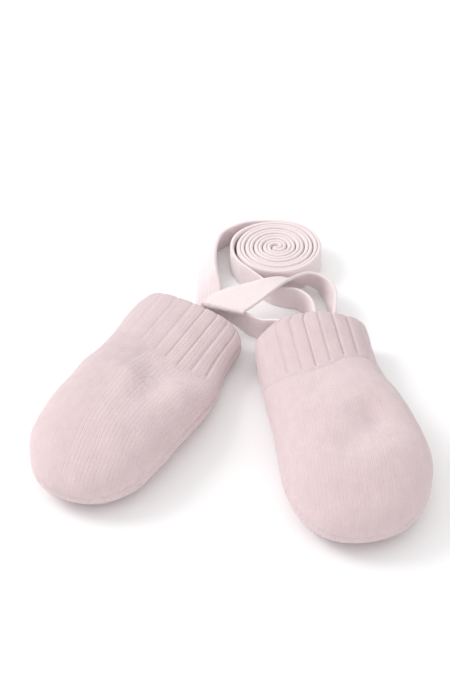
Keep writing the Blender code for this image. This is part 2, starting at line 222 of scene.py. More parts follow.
@dataclass
class Patch:
    """Points, stitch coordinates and faces that are joined into one mesh."""

    points: list[Grid] = field(default_factory=list)
    stitches: list[Grid] = field(default_factory=list)
    quads: list[Grid] = field(default_factory=lambda: [np.zeros((0, 4), int)])
    triangles: list[Grid] = field(default_factory=lambda: [np.zeros((0, 3), int)])
    count: int = 0

    def add_points(self, points: Grid, stitches: Grid) -> int:
        """Adds points with their stitches.

        Args:
            points: Places, one row each.
            stitches: Their wales and courses.

        Returns:
            The first point's number.
        """
        first = self.count
        self.points.append(points)
        self.stitches.append(stitches)
        self.count += len(points)
        return first

    def add_rings(self, points: Grid, wales: Grid, courses: Grid) -> Grid:
        """Adds rings that close on themselves, and the quads between them.

        Args:
            points: Grid of points, a row for each ring.
            wales: Their places across the cloth.
            courses: Their places along it.

        Returns:
            The grid of point numbers.
        """
        stitches = np.stack(np.broadcast_arrays(wales, courses), axis=-1)
        first = self.add_points(points.reshape(-1, 3), stitches.reshape(-1, 2))
        number = first + np.arange(courses.size).reshape(courses.shape)
        around = np.roll(number, -1, axis=1)
        corners = [number[:-1], number[1:], around[1:], around[:-1]]
        self.quads.append(np.stack(corners, axis=-1).reshape(-1, 4))
        return number

    def bridge(self, first: Loop, second: Loop) -> None:
        """Closes the strip between two closed loops, whose marks rise from 0 towards 1.

        Each edge makes a triangle with the point that the other loop has reached.

        Args:
            first: Point numbers and marks of one loop.
            second: The same of the loop that is met.
        """
        ahead_first = np.append(first[1][1:], 1.0)
        ahead_second = np.append(second[1][1:], 1.0)
        met = np.searchsorted(ahead_second, ahead_first, side="right") % len(second[0])
        self.triangles.append(np.stack([first[0], np.roll(first[0], -1), second[0][met]], axis=1))
        met = np.searchsorted(ahead_first, ahead_second, side="left") % len(first[0])
        self.triangles.append(np.stack([np.roll(second[0], -1), second[0], first[0][met]], axis=1))


def triangles_of(quads: Grid, triangles: Grid) -> Grid:
    """All faces as triangles, each quad cut along its first diagonal."""
    return np.concatenate([quads[:, [0, 1, 2]], quads[:, [0, 2, 3]], triangles])


def point_normals(points: Grid, faces: Grid) -> Grid:
    """Unit normals at points: the sum of the area normals of the triangles there.

    Args:
        points: Places, one row each.
        faces: Triangles of point numbers.

    Returns:
        A normal for each point.
    """
    a, b, c = points[faces[:, 0]], points[faces[:, 1]], points[faces[:, 2]]
    area = np.cross(b - a, c - a)
    total = np.zeros_like(points)
    for corner in range(3):
        for axis in range(3):
            total[:, axis] += np.bincount(faces[:, corner], area[:, axis], len(points))
    return total / np.maximum(np.linalg.norm(total, axis=1, keepdims=True), 1e-12)


class Signal:
    """A shader socket on which arithmetic adds Math nodes."""

    def __init__(self, sheet: "NodeSheet", socket: bpy.types.NodeSocket) -> None:
        """Wraps a socket of the given node sheet."""
        self.sheet = sheet
        self.socket = socket

    def math(self, operation: str, *values: "Signal | float") -> "Signal":
        """The result of a new Math node on this signal and further values."""
        inputs = dict(enumerate((self, *values)))
        return self.sheet.node("ShaderNodeMath", {"operation": operation}, inputs)

    def __add__(self, other: "Signal | float") -> "Signal":
        """This signal and another, or a number."""
        return self.math("ADD", other)

    def __sub__(self, other: "Signal | float") -> "Signal":
        """This signal less another."""
        return self.math("SUBTRACT", other)

    def __rsub__(self, other: float) -> "Signal":
        """A number less this signal."""
        return self.math("MULTIPLY_ADD", -1.0, other)

    def __mul__(self, other: "Signal | float") -> "Signal":
        """This signal times another, or a number."""
        return self.math("MULTIPLY", other)

    __radd__ = __add__
    __rmul__ = __mul__


class NodeSheet:
    """The node tree of one material or of the world."""

    def __init__(self, tree: bpy.types.NodeTree) -> None:
        """Starts from a tree that already has its shader."""
        self.tree = tree

    def node(
        self, kind: str, settings: dict[str, object], inputs: dict[int | str, object], output: int | str = 0
    ) -> Signal:
        """Adds a node, sets it up and links it.

        Args:
            kind: The node's type.
            settings: Its properties.
            inputs: Values or signals for its sockets.
            output: The socket to return.

        Returns:
            The chosen output.
        """
        made = self.tree.nodes.new(kind)
        for key, value in settings.items():
            setattr(made, key, value)
        self.feed(made, inputs)
        return Signal(self, made.outputs[output])

    def feed(self, made: bpy.types.Node, inputs: dict[int | str, object]) -> None:
        """Links signals to a node's sockets, or sets the sockets' own values.

        Args:
            made: The node.
            inputs: Values or signals for its sockets.
        """
        for key, value in inputs.items():
            if isinstance(value, Signal):
                self.tree.links.new(value.socket, made.inputs[key])
            else:
                made.inputs[key].default_value = value

    def noise(self, place: Signal, scale: float, detail: float, roughness: float) -> Signal:
        """Noise of the given scale at the places that a signal gives."""
        inputs = {"Vector": place, "Scale": scale, "Detail": detail, "Roughness": roughness}
        return self.node("ShaderNodeTexNoise", {"noise_dimensions": "3D"}, inputs, "Fac")


@dataclass(frozen=True)
class WoolFinish:
    """Pale wool, knitted and lightly brushed."""

    name: str
    # light and deep are the wool's two tones: deep goes into the stitches' hollows as painted shade, and the
    # fibres and mottle mix both at random.
    light: Triple
    deep: Triple
    stitch_height: float = 0.00016
    fuzz_height: float = 0.00012
    bump_strength: float = 0.8
    lean: float = 0.9
    # Share of the blend that paints the stitches' hollows darker, as painted shade.
    stitch_painted_shade: float = 0.3
    fuzz_shade: float = 0.3
    shade_start: float = 0.35
    roughness: float = 0.87
    roughness_change: float = 0.1
    specular: float = 0.25
    sheen: float = 0.35
    sheen_roughness: float = 0.45
    glow: float = 0.12
    glow_depth: float = 0.0015
    glow_colour: Triple = (1.0, 0.85, 0.85)
    fuzz_scale: float = 2600.0
    mottle_scale: float = 0.45
    mottle_stretch: float = 0.3

    def material(self) -> bpy.types.Material:
        """Builds the material.

        The stitch coordinates give the slanted legs of each loop and the mottling, and
        noise in object coordinates the fibres. The stitches' hollows are a little deeper
        in colour as painted shade.

        Returns:
            The finished material.
        """
        material = bpy.data.materials.new(self.name)
        material.use_nodes = True
        sheet = NodeSheet(material.node_tree)
        spot = sheet.node("ShaderNodeUVMap", {"uv_map": "stitches"}, {})
        wales, courses = (sheet.node("ShaderNodeSeparateXYZ", {}, {0: spot}, axis) for axis in "XY")
        side = (wales.math("FRACT") - 0.5).math("ABSOLUTE")
        sine = (side * (2 * math.pi)).math("SINE")
        roll = (courses - side * (2 * self.lean)).math("FRACT") * 2.0 - 1.0
        stitches = (1.0 - roll * roll) * (sine * sine)
        place = sheet.node("ShaderNodeTexCoord", {}, {}, "Object")
        fuzz = sheet.noise(place, self.fuzz_scale, detail=3.0, roughness=0.65)
        drawn = sheet.node("ShaderNodeCombineXYZ", {}, {"X": wales, "Y": courses * self.mottle_stretch})
        mottle = sheet.noise(drawn, self.mottle_scale, detail=2.0, roughness=0.6)
        height = stitches * self.stitch_height + fuzz * self.fuzz_height
        relief = {"Height": height, "Distance": 1.0, "Strength": self.bump_strength}
        # Painted shade in the stitches' hollows, plus random tone from the fibres and the mottle.
        tone_and_painted_shade = stitches * self.stitch_painted_shade + fuzz * self.fuzz_shade + mottle - self.shade_start
        blend = {"Factor": tone_and_painted_shade, 6: (*self.deep, 1.0), 7: (*self.light, 1.0)}
        looks = {
            "Base Color": sheet.node("ShaderNodeMix", {"data_type": "RGBA", "clamp_factor": True}, blend, 2),
            "Normal": sheet.node("ShaderNodeBump", {}, relief),
            "Roughness": fuzz * self.roughness_change + self.roughness,
            "Specular IOR Level": self.specular,
            "Sheen Weight": self.sheen,
            "Sheen Roughness": self.sheen_roughness,
            "Subsurface Weight": self.glow,
            "Subsurface Scale": self.glow_depth,
            "Subsurface Radius": self.glow_colour,
        }
        sheet.feed(material.node_tree.nodes["Principled BSDF"], looks)
        return material


@dataclass(frozen=True)
class MittenForm:
    """The outer form of one mitten, as its solids have it.

    Widths: distance from the rim, half width on the image's left and right.
    Dents: distance, place across, reach along and across, depth. join: how far
    past the cuff's length it is joined, from the image's right to its left.
    valleys: shares of the way over the cuff, and strengths their depths.
    Creases: distance and place across of both ends, half width, depth, which
    is below zero for a ridge.
    """

    place: tuple[float, float]
    yaw: float
    bend: float
    cuff_height: float
    hand_height: float
    tip_power: float
    rim_curve: float
    rim_skew: float
    widths: Marks
    dents: Marks
    join: tuple[float, ...]
    valleys: tuple[float, ...]
    strengths: tuple[float, ...]
    upper_creases: Marks
    under_creases: Marks

    def side_width(self, reach: Grid, share: Grid) -> Grid:
        """Half width at distances from the rim, on the side where each share lies.

        Args:
            reach: Distances from the rim.
            share: Places across, plus on the image's left.

        Returns:
            Half widths.
        """
        table = np.array(self.widths)
        flat = np.minimum(reach, MITTEN_LENGTH).ravel()
        rows = smooth_rows(table[:, 1:], np.interp(flat, table[:, 0], np.arange(len(table))))
        left, right = rows.T.reshape((2,) + np.shape(reach))
        return np.where(share > 0, left, right)

    def tip_end(self, share: Grid, inset: float) -> Grid:
        """Distance from the rim at which a line of cloth meets the tip's outline."""
        return TIP_START + (MITTEN_LENGTH - TIP_START - inset) * rounding(np.abs(share), self.tip_power)

    def cloth_reach(self, cloth: Grid, share: Grid, face: Face) -> Grid:
        """Distance from the rim of cloth that the slanted join has carried along.

        Its shift fades on smooth steps from the cuff's length towards the rim and the tip.

        Args:
            cloth: Distance along the cloth.
            share: Place across as a share of the half width.
            face: Upper, or under with a straight join.

        Returns:
            The true distance.
        """
        cloth, share = np.broadcast_arrays(cloth, share)
        if face is Face.UPPER:
            places = (np.clip(share, -1.0, 1.0) + 1) / 2 * (len(self.join) - 1)
            shift = smooth_rows(np.array(self.join)[:, None], places.ravel()).reshape(share.shape)
        else:
            shift = np.interp(share, (-1.0, 1.0), (self.join[0], self.join[-1]))
        near = np.minimum(cloth / CUFF_LENGTH, (TIP_START - cloth) / (TIP_START - CUFF_LENGTH))
        return cloth + shift * smooth_step(near)

    def straight(self, share: Grid, cloth: Grid, face: Face) -> Grid:
        """Shares across that keep each line of a cuff's cloth straight along the mitten.

        The share is the set-out one times the ratio of the widths, less its excess at
        the side times the fourth power of the share.

        Args:
            share: Share of the half width where the lines are set out.
            cloth: Distance along the cloth.
            face: Upper or under.

        Returns:
            Shares of the half width there.
        """
        reach = self.cloth_reach(cloth, share, face)
        set_out = self.side_width(np.full_like(reach, RIB_STATION), share)
        ratio = np.minimum(set_out / self.side_width(reach, share), MOST_NARROWING)
        return np.clip(share * (ratio - (ratio - 1) * np.abs(share) ** 4), -1.0, 1.0)

    def surface(
        self, share: Grid, cloth: Grid, inset: Grid | float, face: Face
    ) -> tuple[Grid, Grid, Grid]:
        """Points of one face of the mitten, before it is bent and laid out.

        The plan closes at the tip as a superellipse. The upper face's height is a power
        of the sine of the turn round the section. The under face is flat, with a
        quarter circle at each side. Both round down to the seam at the tip.

        Args:
            share: Place across as a share of the half width, plus on the image's left.
            cloth: Distance along the cloth.
            inset: Depth below the skin.
            face: Upper or under.

        Returns:
            Distance from the rim, place across and height.
        """
        reach = self.cloth_reach(cloth, share, face)
        side = self.side_width(reach, share)
        closing = rounding((cloth - TIP_START) / (MITTEN_LENGTH - TIP_START - inset), self.tip_power)
        top_length = MITTEN_LENGTH - TOP_ROUND_START - inset
        lift = rounding((cloth - TOP_ROUND_START) / top_length, TOP_ROUND_POWER)
        height = self.height(cloth)
        seam = SEAM_SHARE * height
        across = share * (side - inset)
        if face is Face.UPPER:
            cosine = np.clip(np.abs(share) / np.maximum(closing, 1e-9), 0.0, 1.0)
            crown = np.sqrt(1.0 - cosine**2) ** CROWN_POWER
            return reach, across, seam + (height - seam - inset) * lift * crown
        corner = np.minimum(seam, side * closing)
        arc = np.maximum(corner - inset * closing, 1e-9)
        cosine = np.clip((np.abs(across) - (side * closing - corner)) / arc, 0.0, 1.0)
        return reach, across, seam - (seam - inset) * lift * np.sqrt(1.0 - cosine**2)

    def height(self, cloth: Grid) -> Grid:
        """Height along the cloth: cuff, knuckles, hand and tip, with smooth steps between.

        Args:
            cloth: Distance along the cloth.

        Returns:
            The outer height there.
        """
        steps = (
            (*RISE, self.hand_height - KNUCKLE_DROP - self.cuff_height),
            (RISE[1], CROWN_STATION, KNUCKLE_DROP),
            (CROWN_STATION, MITTEN_LENGTH, -TIP_DROP),
        )
        rises = [rise * smooth_step((cloth - start) / (end - start)) for start, end, rise in steps]
        return self.cuff_height + sum(rises)

    def lay(self, reach: Grid, across: Grid, z: Grid) -> Grid:
        """Bends the mitten's own coordinates and lays them in the layout.

        Args:
            reach: Distance from the rim.
            across: Place across, plus on the image's left.
            z: Height.

        Returns:
            Layout points, with x, y and z last.
        """
        edge = across / RIM_HALF_WIDTH
        fade = np.clip(1 - reach / CUFF_LENGTH, 0.0, 1.0)
        reach = reach - self.rim_curve * (1 - edge**2) * fade + self.rim_skew * edge * fade
        bent = np.clip((reach - BEND_START) / (MITTEN_LENGTH - BEND_START), 0.0, None)
        across = across + self.bend * bent**2
        yaw = math.radians(self.yaw)
        x = self.place[0] + reach * math.sin(yaw) - across * math.cos(yaw)
        y = self.place[1] - reach * math.cos(yaw) - across * math.sin(yaw)
        return np.stack([x, y, np.broadcast_to(z, x.shape)], axis=-1)

    def dent_depth(self, reach: Grid, across: Grid) -> Grid:
        """Depth of the soft hollows: each is a bell in both directions.

        Args:
            reach: Distance from the rim.
            across: Place across.

        Returns:
            Depth in millimetres.
        """
        dents = [
            deep * bell(reach - along, length) * bell(across - side, width)
            for along, side, length, width, deep in self.dents
        ]
        return sum(dents) * np.clip((reach - CUFF_LENGTH) / DENT_START, 0.0, 1.0)

    def crease_depth(self, reach: Grid, across: Grid, face: Face) -> Grid:
        """Depth of the creases: each is a bell across the line between its two ends.

        Args:
            reach: Distance from the rim.
            across: Place across.
            face: Upper or under.

        Returns:
            Depth in millimetres.
        """
        depth = np.zeros(np.broadcast(reach, across).shape)
        rows = self.upper_creases if face is Face.UPPER else self.under_creases
        for start_reach, start_across, end_reach, end_across, width, deep in rows:
            run = np.array([end_reach - start_reach, end_across - start_across])
            gone = (reach - start_reach) * run[0] + (across - start_across) * run[1]
            share = np.clip(gone / (run @ run), 0.0, 1.0)
            off = np.hypot(reach - start_reach - share * run[0], across - start_across - share * run[1])
            taper = CREASE_END + (1.0 - CREASE_END) * np.sin(math.pi * share)
            depth += deep * taper * bell(off, width)
        return depth


def even_shares(count: int, half_width: float, rise: float, face: Face) -> Grid:
    """Places across a section that divide the cloth into equal lengths.

    The upper section is half an ellipse, the under one a flat between two quarter circles.

    Args:
        count: Number of divisions.
        half_width: Half the section's width.
        rise: Height of the section above or below the seam.
        face: Upper or under.

    Returns:
        Shares of the half width, from 1 down to -1.
    """
    fine = np.linspace(0.0, math.pi, SECTION_STEPS)
    if face is Face.UPPER:
        path = np.stack([half_width * np.cos(fine), rise * np.sin(fine)], axis=1)
    else:
        flat = half_width - rise
        end = math.pi * rise / half_width
        corner = np.clip(fine * half_width / rise / 2, 0.0, math.pi / 2)
        mirror = np.clip((math.pi - fine) * half_width / rise / 2, 0.0, math.pi / 2)
        level = np.interp(fine, (end, math.pi - end), (flat, -flat))
        across = level + rise * (np.cos(corner) - np.cos(mirror))
        path = np.stack([across, rise * np.minimum(np.sin(corner), np.sin(mirror))], axis=1)
    length = lengths_along(path)
    return np.interp(np.linspace(0.0, length[-1], count + 1), length, path[:, 0]) / half_width


@dataclass(frozen=True, kw_only=True)
class KnitPiece:
    """What every piece of cloth has: its name, the nodes it dresses and its cut."""

    name: str
    nodes: tuple[str, ...]
    slot: Slot
    flat: tuple[float, float]
    cut_area: float | None = None
    held: Held = Held.LAID
    gauge: KnitGauge = KnitGauge()

    def finish(self, patch: Patch, wrap: float | None, material: bpy.types.Material) -> bpy.types.Object:
        """The faces are turned outwards when the volume that they enclose comes out negative.

        Args:
            patch: Its points and faces.
            wrap: Wales all round, where the stitches close on themselves.
            material: The cloth.

        Returns:
            The finished piece.
        """
        points = np.concatenate(patch.points) + np.array(LAYOUT_SHIFT)
        stitches = np.concatenate(patch.stitches)
        quads, triangles = np.concatenate(patch.quads), np.concatenate(patch.triangles)
        cut = triangles_of(quads, triangles)
        volume = np.einsum("ij,ij->i", points[cut[:, 0]], np.cross(points[cut[:, 1]], points[cut[:, 2]]))
        if volume.sum() < 0.0:
            quads, triangles = quads[:, ::-1], triangles[:, ::-1]
        mesh = bpy.data.meshes.new(self.name)
        mesh.from_pydata(points * MM, [], quads.tolist() + triangles.tolist())
        spots = [stitches[part] for part in (quads, triangles)]
        if wrap is not None:
            for spot in spots:
                across = spot[:, :, 0]
                crosses = np.ptp(across, axis=1, keepdims=True) > wrap / 2
                across += wrap * (crosses & (across < wrap / 2))
        flat = np.concatenate([spot.reshape(-1, 2) for spot in spots]).astype(np.float32)
        mesh.uv_layers.new(name="stitches").data.foreach_set("uv", flat.ravel())
        mesh.validate()
        mesh.shade_smooth()
        mesh.set_sharp_from_angle(angle=math.radians(SHARP_ANGLE))
        piece = bpy.data.objects.new(self.name, mesh)
        bpy.context.scene.collection.objects.link(piece)
        mesh.materials.append(material)
        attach(piece, BODY)
        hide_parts(*self.nodes)
        return piece


@dataclass(frozen=True, kw_only=True)
class MittenPiece(KnitPiece):
    """What the hand panels and the cuff of a mitten share."""

    form: MittenForm
    seed: int
    join_depth: float
    join_width: float = 1.1
    join_blend: float = 9.0
    swell: float = 0.13
    swell_wavelength: float = 17.0
    stitch_drift: float = 0.07
    drift_wavelength: float = 8.0
    coarse: int = 8

    def join_line(self, cloth: Grid) -> Grid:
        """Depth of the narrow step where the cuff meets the hand: a bell along the cloth."""
        return self.join_depth * bell(cloth - CUFF_LENGTH, self.join_width)


@dataclass(frozen=True)
class PanelGrid:
    """Places on a hand panel: in the mitten's coordinates, along the cloth and in stitches."""

    reach: Grid
    across: Grid
    z: Grid
    cloth: Grid
    seam_off: Grid
    wales: Grid
    courses: Grid


def grid_faces(number: Grid) -> tuple[Grid, Grid]:
    """Faces of a grid in which a line that has ended keeps its last point.

    Args:
        number: The grid of point numbers.

    Returns:
        Its quads and its triangles.
    """
    a, b = number[:-1, :-1].ravel(), number[1:, :-1].ravel()
    c, d = number[1:, 1:].ravel(), number[:-1, 1:].ravel()
    quads = np.stack([a, b, c, d], axis=1)
    ended, next_ended = a == b, c == d
    cut = [quads[ended & ~next_ended][:, [0, 2, 3]], quads[~ended & next_ended][:, :3]]
    return quads[~ended & ~next_ended], np.concatenate(cut)


@dataclass(frozen=True, kw_only=True)
class HandPanel(MittenPiece):
    """One knitted panel of a hand, sewn to the other at the sides and the tip."""

    face: Face
    slot: Slot = Slot.HAND
    start: float = CUFF_LENGTH - 0.4
    wall: float = 2.4
    wales: int
    section_rise: float
    section_half_width: float = 28.0
    seam_depth: float = 0.65
    seam_width: float = 0.8
    seam_change: float = 0.12
    seam_lip: float = 0.1
    lip_off: float = 2.6
    rest_height: float = 1.5

    def lines(self, shares: Grid, spacing: float, inset: float) -> tuple[Grid, Grid]:
        """Walks each line of cloth from the cuff to the tip's outline.

        Args:
            shares: Place across of each line.
            spacing: Distance between rows.
            inset: Depth below the skin.

        Returns:
            Place of each row on each line, and the length there, held past a line's end.
        """
        ends = self.form.tip_end(shares, inset)
        ease = np.sin(np.linspace(0.0, math.pi / 2, LINE_STEPS))[:, None]
        cloth = self.start + (ends - self.start) * ease
        length = lengths_along(np.stack(self.form.surface(shares[None], cloth, inset, self.face), axis=-1))
        marks = np.arange(int(length[-1].max() / spacing) + 2) * spacing
        rows = [np.interp(marks, length[:, j], cloth[:, j]) for j in range(len(shares))]
        return np.stack(rows, axis=1), np.minimum(marks[:, None], length[-1])

    def lattice(self, patch: Patch, shares: Grid, spacing: float, inset: float) -> Loop:
        """Adds one grid of the panel, with each line of cloth ended at the outline.

        Args:
            patch: What it is added to.
            shares: Place across of each line.
            spacing: Distance between rows.
            inset: Depth below the skin, 0 outside.

        Returns:
            The grid's border: point numbers, and marks from 0 to 1.
        """
        cloth, length = self.lines(shares, spacing, inset)
        rows, columns = cloth.shape
        reach, across, z = self.form.surface(shares[None], cloth, inset, self.face)
        height = self.form.height(cloth)
        seam_off = np.abs(z - SEAM_SHARE * height)
        if self.face is Face.UPPER:
            crown = (z / height - SEAM_SHARE) / (1 - SEAM_SHARE)
            z = z - self.form.dent_depth(reach, across) * np.clip(crown, 0.0, 1.0)
        last = np.argmax(np.isclose(length, length[-1]), axis=0)
        row = np.arange(rows)[:, None]
        used = row <= last
        number = np.full(used.shape, -1)
        number[used] = np.arange(used.sum())
        number = number[np.minimum(row, last), np.arange(columns)]
        quads, triangles = grid_faces(number)
        points = self.form.lay(reach, across, z)[used]
        drift = Unevenness(self.seed + 2, self.drift_wavelength)
        even_wales = np.arange(columns) * self.wales / (columns - 1)
        wales = even_wales + self.stitch_drift * drift.at(reach, across)
        courses = length / self.gauge.course + self.stitch_drift * drift.at(across, reach)
        if inset == 0.0:
            grid = PanelGrid(reach, across, z, cloth, seam_off, wales, courses)
            normals = point_normals(points, triangles_of(quads, triangles))
            normals[:, 2] *= 1.0 - bell(seam_off[used], self.seam_width)
            normals /= np.maximum(np.linalg.norm(normals, axis=1, keepdims=True), 1e-9)
            turn = 1.0 if self.face is Face.UPPER else -1.0
            points = points - turn * normals * self.relief(grid)[used][:, None]
            points[:, 2] = np.maximum(points[:, 2], 0.0)
        else:
            quads, triangles = quads[:, ::-1], triangles[:, ::-1]
        first = patch.add_points(points, np.stack([wales, courses], axis=-1)[used])
        patch.quads.append(quads + first)
        patch.triangles.append(triangles + first)
        return self.border(number + first, last)

    def border(self, number: Grid, last: Grid) -> Loop:
        """The border of a grid: the cuff's edge, one side, the tip, the other side.

        Args:
            number: Point numbers of the grid.
            last: The row at which each line ends.

        Returns:
            Point numbers, and marks from 0 to 1, a quarter a side.
        """
        columns = number.shape[1]
        ends = number[last, np.arange(columns)]
        right, left = np.arange(1, last[-1]), np.arange(last[0] - 1, 0, -1)
        loop = np.concatenate([number[0], number[right, -1], ends[::-1], number[left, 0]])
        edge = np.linspace(0.0, 1.0, columns)
        far_edge = np.linspace(2.0, 3.0, columns)
        marks = [edge, 1.0 + right / last[-1], far_edge, 3.0 + (last[0] - left) / last[0]]
        return loop, np.concatenate(marks) / 4.0

    def relief(self, grid: PanelGrid) -> Grid:
        """Depth of everything that lies below the plain outer form.

        It is the stitches, the creases, the seam's groove between two low lips, the
        step where the cuff begins, and a slight unevenness. At the seam only its
        groove is left, and on the under face, where it rests, only hollows.

        Args:
            grid: Places on the panel.

        Returns:
            Depth in millimetres, inwards.
        """
        near_seam = bell(grid.seam_off, self.seam_width)
        pull = 1.0 + self.seam_change * SEAM_PULL.at(grid.reach, grid.across)
        lips = self.seam_lip * bell(grid.seam_off - self.lip_off, self.seam_width)
        seam = self.seam_depth * pull * near_seam - lips
        settled = smooth_step((grid.cloth - CUFF_LENGTH) / self.join_blend)
        waves = Unevenness(self.seed, self.swell_wavelength)
        soft = self.swell * settled * waves.at(grid.reach, grid.across)
        creases = self.form.crease_depth(grid.reach, grid.across, self.face)
        face = self.gauge.depth(grid.wales, grid.courses) + creases + soft
        total = face * (1.0 - near_seam) + seam + self.join_line(grid.cloth)
        if self.face is Face.UNDER:
            total = total + bell(grid.z, self.rest_height) * (np.maximum(soft, 0.0) - soft)
        return total

    def build(self, material: bpy.types.Material) -> bpy.types.Object:
        """Builds the panel as a closed shell.

        Args:
            material: The cloth.

        Returns:
            The finished piece.
        """
        columns = self.wales * self.gauge.columns_per_wale
        spacing = self.gauge.course / self.gauge.rows_per_course
        shares = even_shares(columns, self.section_half_width, self.section_rise, self.face)
        patch = Patch()
        outer = self.lattice(patch, shares, spacing, 0.0)
        inner = self.lattice(patch, shares[:: self.coarse], spacing * self.coarse, self.wall)
        patch.bridge(outer, inner)
        return self.finish(patch, None, material)


@dataclass(frozen=True, kw_only=True)
class Cuff(MittenPiece):
    """The ribbed cuff of a mitten, all round, open at the wrist."""

    slot: Slot = Slot.CUFF
    swell_wavelength: float = 15.0
    wales_each_face: int = 40
    under_ribs: int = 9
    under_rib_share: float = 0.5
    rib_depth: float = 0.62
    rib_power: float = 26.0
    rib_dome: float = 0.3
    rib_end: float = 0.8
    rib_fade: float = 2.4
    rim_scallop: float = 0.5
    rim_ease: float = 0.7
    inside_relief: float = 0.3
    wall: float = 3.0
    under_wall: float = 2.4
    section_half_width: float = 25.0
    section_rise: float = 9.0
    tuck: float = 1.2
    tuck_depth: float = 0.9
    inside_reach: float = 7.0
    turn_rows: int = 15
    lining_rows: int = 12
    seam_depth: float = 0.6
    seam_width: float = 1.1

    def profile(self) -> tuple[Grid, Grid]:
        """Rows of the knitted side: along the outside, round the rim and into the mouth.

        Round the rim the row turns on a half circle as thick as the wall.

        Returns:
            Distance from the rim, and depth below the skin as a share of the wall.
        """
        spacing = self.gauge.course / self.gauge.rows_per_course
        lip = self.wall / 2
        outside = np.arange(CUFF_LENGTH + self.tuck, lip, -spacing)
        turn = np.linspace(0.0, math.pi, self.turn_rows)
        inside = np.arange(lip + spacing * 2, self.inside_reach, spacing * 2)
        reach = np.concatenate([outside, lip - lip * np.sin(turn), inside])
        depth = np.concatenate([np.zeros(len(outside)), 0.5 - 0.5 * np.cos(turn), np.ones(len(inside))])
        return reach, depth

    def ribs(self, over: Grid) -> tuple[Grid, Grid]:
        """Ribs all round, the upper face first.

        A rib is a broad dome with narrow valleys: a high power of the cosine of the place across.

        Args:
            over: Places over each face, from 0 to 1.

        Returns:
            The valleys' strength, and the depth of valleys and domes.
        """
        count = len(self.form.valleys) - 1
        phase = np.interp(over, self.form.valleys, np.arange(count + 1))
        phase = np.concatenate([phase, count + over * self.under_ribs])
        strengths = np.append(self.form.strengths, np.full(self.under_ribs, self.under_rib_share))
        strength = strengths[np.round(phase).astype(int)]
        valley = strength * np.abs(np.cos(math.pi * phase)) ** self.rib_power
        dome = strength * (1.0 - np.abs(np.sin(math.pi * phase))) ** 2
        return valley, self.rib_depth * valley + self.rib_dome * dome

    def ring(self, reach: Grid, inset: Grid, shares: Loop) -> Grid:
        """Points of closed rings round the cuff, upper face first.

        Args:
            reach: Distance of each point from the rim.
            inset: Its depth below the skin.
            shares: Places across both faces.

        Returns:
            Layout points of the rings.
        """
        parts = []
        start = 0
        for face, share in zip((Face.UPPER, Face.UNDER), shares):
            part = np.s_[:, start : start + len(share)]
            place = self.form.straight(share[None], reach[part], face)
            parts.append(self.form.lay(*self.form.surface(place, reach[part], inset[part], face)))
            start += len(share)
        points = np.concatenate(parts, axis=1)
        points[..., 2] = np.maximum(points[..., 2], 0.0)
        return points

    def knitted_side(self, patch: Patch, shares: Loop) -> Grid:
        """Adds the outside, the rim and the inside of the mouth.

        The valleys fade short of the hand and pull the rim in a little. The side joins
        are narrow hollows, and past its length the cuff is tucked under the hand.

        Args:
            patch: What it is added to.
            shares: Places across both faces.

        Returns:
            Point numbers, a row for each ring.
        """
        row_reach, row_depth = self.profile()
        per_face = len(shares[0])
        column = np.arange(2 * per_face)
        over = np.arange(per_face) / per_face
        valley, ridges = self.ribs(over)
        is_under = column >= per_face
        run = np.hypot(np.diff(row_reach), np.diff(row_depth) * self.wall)
        length = np.concatenate([[0.0], np.cumsum(run)])[:, None]
        reach, depth = row_reach[:, None], row_depth[:, None]
        turn = column / len(column) * 2 * math.pi
        girth = len(column) / self.gauge.columns_per_wale * self.gauge.wale / (2 * math.pi)
        waves = Unevenness(self.seed, self.swell_wavelength)
        uneven = waves.at(reach + girth * np.sin(turn), girth * np.cos(turn))
        wales = column / self.gauge.columns_per_wale + self.stitch_drift * uneven
        courses = length / self.gauge.course + self.stitch_drift * uneven
        seam_off = np.minimum(over, 1.0 - over) * self.wales_each_face * self.gauge.wale
        near_seam = np.tile(bell(seam_off, self.seam_width), 2)
        fade = smooth_step((CUFF_LENGTH - self.rib_end - reach) / self.rib_fade)
        outside = (1.0 - depth) ** self.rim_ease
        drop = (ridges * fade + self.seam_depth * near_seam) * outside
        drop += self.gauge.depth(wales, courses) * (self.inside_relief + (1.0 - self.inside_relief) * outside)
        settled = smooth_step((CUFF_LENGTH - reach) / self.join_blend) * outside
        drop += self.swell * uneven * settled * ~is_under
        tucked = self.tuck_depth * smooth_step((reach - CUFF_LENGTH) / self.tuck)
        wall = np.where(is_under, self.under_wall, self.wall)
        inset = depth * wall + (self.join_line(reach) + tucked) * outside + drop
        scalloped = reach + np.sin(math.pi * depth) * self.rim_scallop * valley
        return patch.add_rings(self.ring(scalloped, inset, shares), wales, courses)

    def lining_side(self, patch: Patch, shares: Loop) -> Grid:
        """Adds the plain inside of the cuff on a coarser grid.

        Args:
            patch: What it is added to.
            shares: Places across both faces.

        Returns:
            Point numbers, a row for each ring.
        """
        coarse = tuple(share[:: self.coarse] for share in shares)
        column = np.arange(len(coarse[0]) + len(coarse[1]))
        row = np.linspace(self.inside_reach + 1.0, CUFF_LENGTH + self.tuck, self.lining_rows)[:, None]
        wall = np.where(column >= len(coarse[0]), self.under_wall, self.wall)
        wales = column * self.coarse / self.gauge.columns_per_wale
        reach, inset, courses = np.broadcast_arrays(row, wall, row / self.gauge.course)
        return patch.add_rings(self.ring(reach, inset, coarse), wales, courses)

